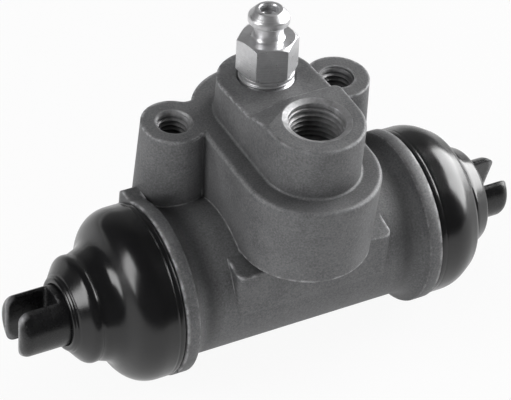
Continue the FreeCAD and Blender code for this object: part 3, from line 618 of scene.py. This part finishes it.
# Faces between neighbouring rows and columns. The last column joins the first, "shift" rows further on,
# and on a closed grid the last row joins the first.
def gridFaces(rows, columns, shift=0, closed=False):
    row, column = np.meshgrid(np.arange(rows if closed else rows - 1), np.arange(columns), indexing="ij")

    def at(r, c):
        r = r % rows if closed else np.minimum(r + (c // columns) * shift, rows - 1)
        return r * columns + c % columns

    corners = [at(row, column), at(row, column + 1), at(row + 1, column + 1), at(row + 1, column)]
    return np.stack(corners, axis=-1).reshape(-1, 4)


# One mesh object from bands of (points, faces): doubles merged, faces turned outwards, edges past "sharp"
# degrees kept sharp
def makePiece(name, bands, material, body=None, sharp=40.0):
    points, faces, count = [], [], 0
    for grid, quads in bands:
        points.append(grid.reshape(-1, 3) * mm)
        faces.append(quads + count)
        count += points[-1].shape[0]
    mesh = bpy.data.meshes.new(name)
    mesh.from_pydata(np.concatenate(points).tolist(), [], np.concatenate(faces).tolist())
    work = bmesh.new()
    work.from_mesh(mesh)
    bmesh.ops.remove_doubles(work, verts=work.verts, dist=meshing["merge"] * mm)
    bmesh.ops.dissolve_degenerate(work, edges=work.edges, dist=meshing["thin"] * mm)
    bmesh.ops.recalc_face_normals(work, faces=work.faces)
    work.to_mesh(mesh)
    work.free()
    mesh.shade_smooth()
    mesh.set_sharp_from_angle(angle=math.radians(sharp))
    mesh.materials.append(material)
    piece = bpy.data.objects.new(name, mesh)
    bpy.context.scene.collection.objects.link(piece)
    if body:
        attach(piece, body)
    print(name, len(mesh.polygons), "faces")
    return piece


def unit(vector):
    return vector / np.linalg.norm(vector)


# Outline through corners (along, radius, rounding): each rounding is an arc between the two straight runs,
# its points the slerp of the arc's first and last spoke
def softOutline(corners, steps=10, closed=True):
    places = np.array([corner[:2] for corner in corners], float)
    share = np.linspace(0.0, 1.0, steps + 1)[:, None]
    runs = []
    for index, (*_, rounding) in enumerate(corners):
        here = places[index]
        if not rounding or (not closed and index in (0, len(corners) - 1)):
            runs.append(here[None])
            continue
        back, ahead = unit(places[index - 1] - here), unit(places[(index + 1) % len(corners)] - here)
        half = math.acos(np.clip(back @ ahead, -1, 1)) / 2
        centre = here + unit(back + ahead) * rounding / math.sin(half)
        reach = rounding / math.tan(half)
        first, last = here + back * reach - centre, here + ahead * reach - centre
        turn = math.pi - 2 * half
        spoke = np.sin((1 - share) * turn) * first + np.sin(share * turn) * last
        runs.append(centre + spoke / math.sin(turn))
    return np.concatenate(runs)


# The same closed outline at even steps, each point then averaged with its neighbours a few times:
# (one before + 2 * itself + one after) / 4
def evenOutline(outline, step, passes):
    loop = np.concatenate([outline, outline[:1]])
    length = np.concatenate([[0.0], np.cumsum(np.linalg.norm(np.diff(loop, axis=0), axis=1))])
    count = int(round(length[-1] / step))
    at = np.arange(count) * length[-1] / count
    even = np.stack([np.interp(at, length, loop[:, 0]), np.interp(at, length, loop[:, 1])], axis=1)
    for _ in range(passes):
        even = (np.roll(even, 1, axis=0) + 2 * even + np.roll(even, -1, axis=0)) / 4
    return even


# Boots: corners of the outline as (distance from the middle, radius, rounding), outside first, then the
# mouth round the push rod, the inside, and the bead in the casting's groove
boots = {
    "left": {
        "sign": -1,
        "corners": [
            (25.6, 15.65, 0.35), (31.95, 15.65, 5.4), (34.95, 10.6, 3.3), (38.1, 9.5, 1.2), (39.3, 10.1, 1.5),
            (41.7, 7.1, 0.9), (42.65, 6.35, 0.2), (42.65, 5.5, 0), (41.3, 5.5, 0),
            (38.9, 8.2, 0.5), (34.2, 9.0, 1.0), (31.0, 13.23, 1.0), (28.05, 13.23, 0),
            (28.05, 12.35, 0), (26.65, 12.35, 0), (26.65, 13.23, 0), (25.6, 13.23, 0),
        ],
        "stretch": (29.0, 41.2),   # where the rubber starts to follow the push rod, and where it does
        "grooves": [(26.75, 0.10, 0.16), (41.75, 0.16, 0.12), (42.2, 0.12, 0.09)],  # place, depth, width
    },
    "right": {
        "sign": 1,
        "corners": [
            (25.6, 15.45, 0.2), (31.0, 15.45, 7.0), (34.9, 13.1, 2.2), (35.95, 10.0, 0.4), (36.7, 10.15, 0.6),
            (39.7, 8.6, 1.2), (40.9, 6.3, 0.3), (40.9, 5.5, 0), (39.5, 5.5, 0),
            (38.2, 7.6, 0.5), (35.3, 8.2, 0.8), (32.66, 13.23, 1.0), (28.05, 13.23, 0),
            (28.05, 12.35, 0), (26.65, 12.35, 0), (26.65, 13.23, 0), (25.6, 13.23, 0),
        ],
        "stretch": (29.0, 39.8),
        "grooves": [(26.85, 0.04, 0.16), (40.35, 0.08, 0.12)],
    },
}
bootGrid = {
    "step": 0.14,
    "passes": 6,               # of softening
    "columns": 128,
    "sharp": 60.0,
    # middle of the rubber's thickness, as (distance from the middle, radius), which parts outside from inside
    "wallMiddle": [(25.6, 14.4), (31.0, 14.2), (37.0, 8.4), (42.65, 5.75)],
}


# Boot: the outline turned about the bore, with narrow grooves:
# radius less depth * exp(-((along - place) / width)^2)
def makeBoot(side):
    boot = boots[side]
    outline = evenOutline(softOutline(boot["corners"]), bootGrid["step"], bootGrid["passes"])
    along, radius = outline[:, 0], outline[:, 1]
    outside = radius > np.interp(along, *np.transpose(bootGrid["wallMiddle"]))
    for place, depth, width in boot["grooves"]:
        radius = radius - np.where(outside, depth * np.exp(-((along - place) / width) ** 2), 0)
    angles = anglesRound(bootGrid["columns"])
    about = turnedAbout((0, layout["boreY"], layout["boreZ"]), (boot["sign"], 0, 0), (0, 1, 0))
    grid = roundGrid(along[:, None], radius[:, None], angles, about)
    piece = makePiece(f"{side}BootRubber", [(grid, gridFaces(len(along), len(angles), closed=True))],
                      finishes["boot"], sharp=bootGrid["sharp"])
    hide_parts(f"{side}_boot")
    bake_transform(piece)


for side in boots:
    makeBoot(side)

# Threads

threads = {
    "rowsPerTurn": 16,
    "columns": 96,
    "skin": 0.03,              # how far a tapped surface stands off the plain hole
    "stand": 0.012,            # how far the sleeve's rim stands above the face
    "rimDepth": 0.3,           # the sleeve's outside is as wide as the rim down to here,
    "coneDepth": 1.0,          # and as narrow as the hole's wall from here
}

# Tapped holes: nominal radius, thread depth, pitch, lowest height, wall that is sunk in the iron, radius of
# the mouth, and the cone and tapered lead-in below it, as (depth, radius)
tappedHoles = {
    "port": {"radius": 5.0, "depth": 0.54, "pitch": 1.0, "low": -0.8, "wall": 0.35, "mouth": 6.0,
             "entry": [(0.42, 5.0), (2.6, 4.46)]},
    "leftBolt": {"radius": 3.0, "depth": 0.54, "pitch": 1.0, "low": -12.9, "wall": 0.3, "mouth": 3.3,
                 "entry": [(0.45, 2.85), (1.6, 2.46)]},
    "rightBolt": {"radius": 3.0, "depth": 0.54, "pitch": 1.0, "low": -12.9, "wall": 0.3, "mouth": 3.05,
                  "entry": [(0.45, 2.85), (1.6, 2.46)]},
}


# Depth of a 60 degree thread along one pitch: flat top an eighth, flat bottom a quarter, straight flanks
def threadShape(phase):
    return np.interp(phase % 1.0, (0.0, 1 / 16, 3 / 8, 5 / 8, 15 / 16, 1.0), (0.0, 0.0, 1.0, 1.0, 0.0, 0.0))


# Rows of a thread climb one pitch for each turn:
# height = low + pitch * (row / rowsPerTurn + angle / 2 pi - 1), held between low and high, so that both ends
# are level rings
def threadGrid(low, high, pitch, angles):
    perTurn = threads["rowsPerTurn"]
    rows = np.arange(int((high - low) / pitch + 2) * perTurn + 1)
    turn = (angles - angles[0]) / (2 * math.pi)
    height = np.clip(low + pitch * (rows[:, None] / perTurn + turn[None, :] - 1), low, high)
    phase = (height - low) / pitch - turn[None, :]
    return height, phase


# Tapped hole: a closed sleeve whose outside is in the iron. Its inside is the thread,
# radius = nominal - depth * (1 - thread shape), cut back where the mouth's cone or the lead-in is wider.
def makeTappedHole(name, x, y, top):
    hole = tappedHoles[name]
    low, mouth, skin = hole["low"], hole["mouth"], threads["skin"]
    angles = anglesRound(threads["columns"])
    high = top + threads["stand"]
    height, phase = threadGrid(low, high, hole["pitch"], angles)
    fade = np.clip((height - low) / hole["pitch"], 0, 1)
    radius = hole["radius"] - skin - hole["depth"] * fade * (1 - threadShape(phase))
    deep, wide = np.transpose([(0.0, mouth - skin)] + hole["entry"])
    radius = np.maximum(radius, np.interp(top - height, deep, wide))
    about = turnedAbout((x, y, 0), (0, 0, 1), (1, 0, 0))
    inside = roundGrid(height, radius, angles, about)
    outer, rim = hole["radius"] + hole["wall"], mouth + 2 * skin
    wall = np.array([(high, mouth - skin), (high, rim), (top - threads["rimDepth"], rim),
                     (top - threads["coneDepth"], outer), (low, outer), (low, hole["radius"] - skin)])
    outside = roundGrid(wall[:, :1], wall[:, 1:], angles, about)
    bands = [(inside, gridFaces(len(height), len(angles), shift=threads["rowsPerTurn"])),
             (outside, gridFaces(len(wall), len(angles)))]
    makePiece(f"{name}Thread", bands, finishes["tappedIron"], "cylinder")


makeTappedHole("port", *layout["port"])
makeTappedHole("leftBolt", -layout["boltX"], 0.0, 0.0)
makeTappedHole("rightBolt", layout["boltX"], 0.0, 0.0)
print("threads ready")

# Bleeder screw, along its own axis from the seat
bleeder = {
    "coneTip": (-12.79, 1.6),      # height and radius of the cone's flat end
    "threadRadius": 4.95,
    "threadDepth": 0.5,
    "pitch": 1.0,
    "threadLow": -9.44,
    "threadHigh": 1.3,
    "plainBelowHexagon": 0.55,     # where the thread has run out
    "runOut": 0.3,                 # and over what height
    "flats": 9.5,
    "hexagon": (1.3, 7.95),
    "hexagonTurn": -19.2,          # degrees from +X to a corner
    "hexagonFace": 4.66,           # radius of the flat ends inside the chamfer
    "chamferSlope": 0.577,
    "columns": 96,
    "sharp": 25.0,
    # neck, cap and bore: height, radius, rounding
    "cap": [
        (7.95, 2.95, 0), (8.3, 2.6, 0.3), (10.55, 2.6, 0.25), (11.1, 3.66, 0.35), (12.2, 3.66, 0.6),
        (13.5, 2.4, 0.35), (13.5, 1.75, 0.12), (13.15, 1.62, 0.1), (12.0, 1.62, 0.05), (11.6, 1.1, 0.05),
        (-9.6, 1.1, 0), (-9.6, 0.0, 0),
    ],
}


# Bleeder screw: cone, helical thread that runs out below the hexagon, chamfered hexagon, neck, cap and bore.
# A hexagon's radius is half the flats / cos(angle from the middle of its face).
def makeBleeder():
    lean = math.radians(layout["seatLean"])
    about = turnedAbout(layout["seat"], (0, math.sin(lean), math.cos(lean)), (1, 0, 0))
    angles = math.radians(bleeder["hexagonTurn"]) + anglesRound(bleeder["columns"])
    low, high, crest = bleeder["threadLow"], bleeder["threadHigh"], bleeder["threadRadius"]
    height, phase = threadGrid(low, high, bleeder["pitch"], angles)
    fade = np.clip((height - low) / bleeder["pitch"], 0, 1)
    fade = fade * np.clip((high - bleeder["plainBelowHexagon"] - height) / bleeder["runOut"], 0, 1)
    thread = roundGrid(height, crest - bleeder["threadDepth"] * fade * threadShape(phase), angles, about)
    cone = np.array([(bleeder["coneTip"][0], 0.0), bleeder["coneTip"], (low, crest)])
    face = bleeder["hexagonFace"]
    across = angles - angles[0]
    hexagon = bleeder["flats"] / 2 / np.cos(across % (math.pi / 3) - math.pi / 6)
    drop = (hexagon - face) * bleeder["chamferSlope"]
    under, over = bleeder["hexagon"]
    flat = np.ones(len(angles))
    cap = softOutline(bleeder["cap"], steps=6, closed=False)
    upperAlong = np.concatenate([[high * flat, under * flat, under + drop, over - drop, over * flat],
                                 cap[:, :1] * flat])
    upperRadius = np.concatenate([[crest * flat, face * flat, hexagon, hexagon, face * flat],
                                  cap[:, 1:] * flat])
    bands = [
        (roundGrid(cone[:, :1], cone[:, 1:], angles, about), gridFaces(len(cone), len(angles))),
        (thread, gridFaces(len(height), len(angles), shift=threads["rowsPerTurn"])),
        (roundGrid(upperAlong, upperRadius, angles, about), gridFaces(len(upperAlong), len(angles))),
    ]
    piece = makePiece("bleederPlated", bands, finishes["zinc"], "bleeder", bleeder["sharp"])
    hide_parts("bleeder_screw")


makeBleeder()

# Return spring, as two halves
spring = {
    "ends": (-11.18, 6.38),        # middle of the wire, along the bore
    "radius": 4.6,
    "wire": 0.5,
    "turns": 6.5,
    "steps": 40,                   # along one turn
    "columns": 16,
}


# Wire round a helix: centre = (x, R cos, R sin), and round it a circle of the wire's radius
# in the plane of the outward direction and the direction square to it and to the wire
def makeSpringHalf(name, first, last):
    low, high = spring["ends"]
    radius, turns = spring["radius"], spring["turns"]
    count = int(spring["steps"] * turns * (last - first))
    share = np.linspace(first, last, count + 1)
    turn = 2 * math.pi * turns * share
    along = low + (high - low) * share
    centre = np.stack([along, radius * np.cos(turn), radius * np.sin(turn)], axis=1)
    outward = np.stack([np.zeros_like(turn), np.cos(turn), np.sin(turn)], axis=1)
    rise = np.full_like(turn, (high - low) / (2 * math.pi * turns))
    way = np.stack([rise, -radius * np.sin(turn), radius * np.cos(turn)], axis=1)
    across = np.cross(way / np.linalg.norm(way, axis=1)[:, None], outward)
    # the end rows shrink to a point, which closes the wire
    order = np.concatenate([[0], np.arange(count + 1), [count]])
    size = np.full(len(order), spring["wire"])
    size[[0, -1]] = 0.0
    angles = anglesRound(spring["columns"])
    circle = outward[:, None] * np.cos(angles)[:, None] + across[:, None] * np.sin(angles)[:, None]
    grid = centre[order][:, None] + size[:, None, None] * circle[order]
    grid = grid + np.array([0, layout["boreY"], layout["boreZ"]])
    piece = makePiece(name, [(grid, gridFaces(len(order), len(angles)))], finishes["spring"])
    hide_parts("return_spring")
    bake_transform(piece)


makeSpringHalf("springLeftHalf", 0.0, 0.5)
makeSpringHalf("springRightHalf", 0.5, 1.0)
print("bleeder and spring ready")
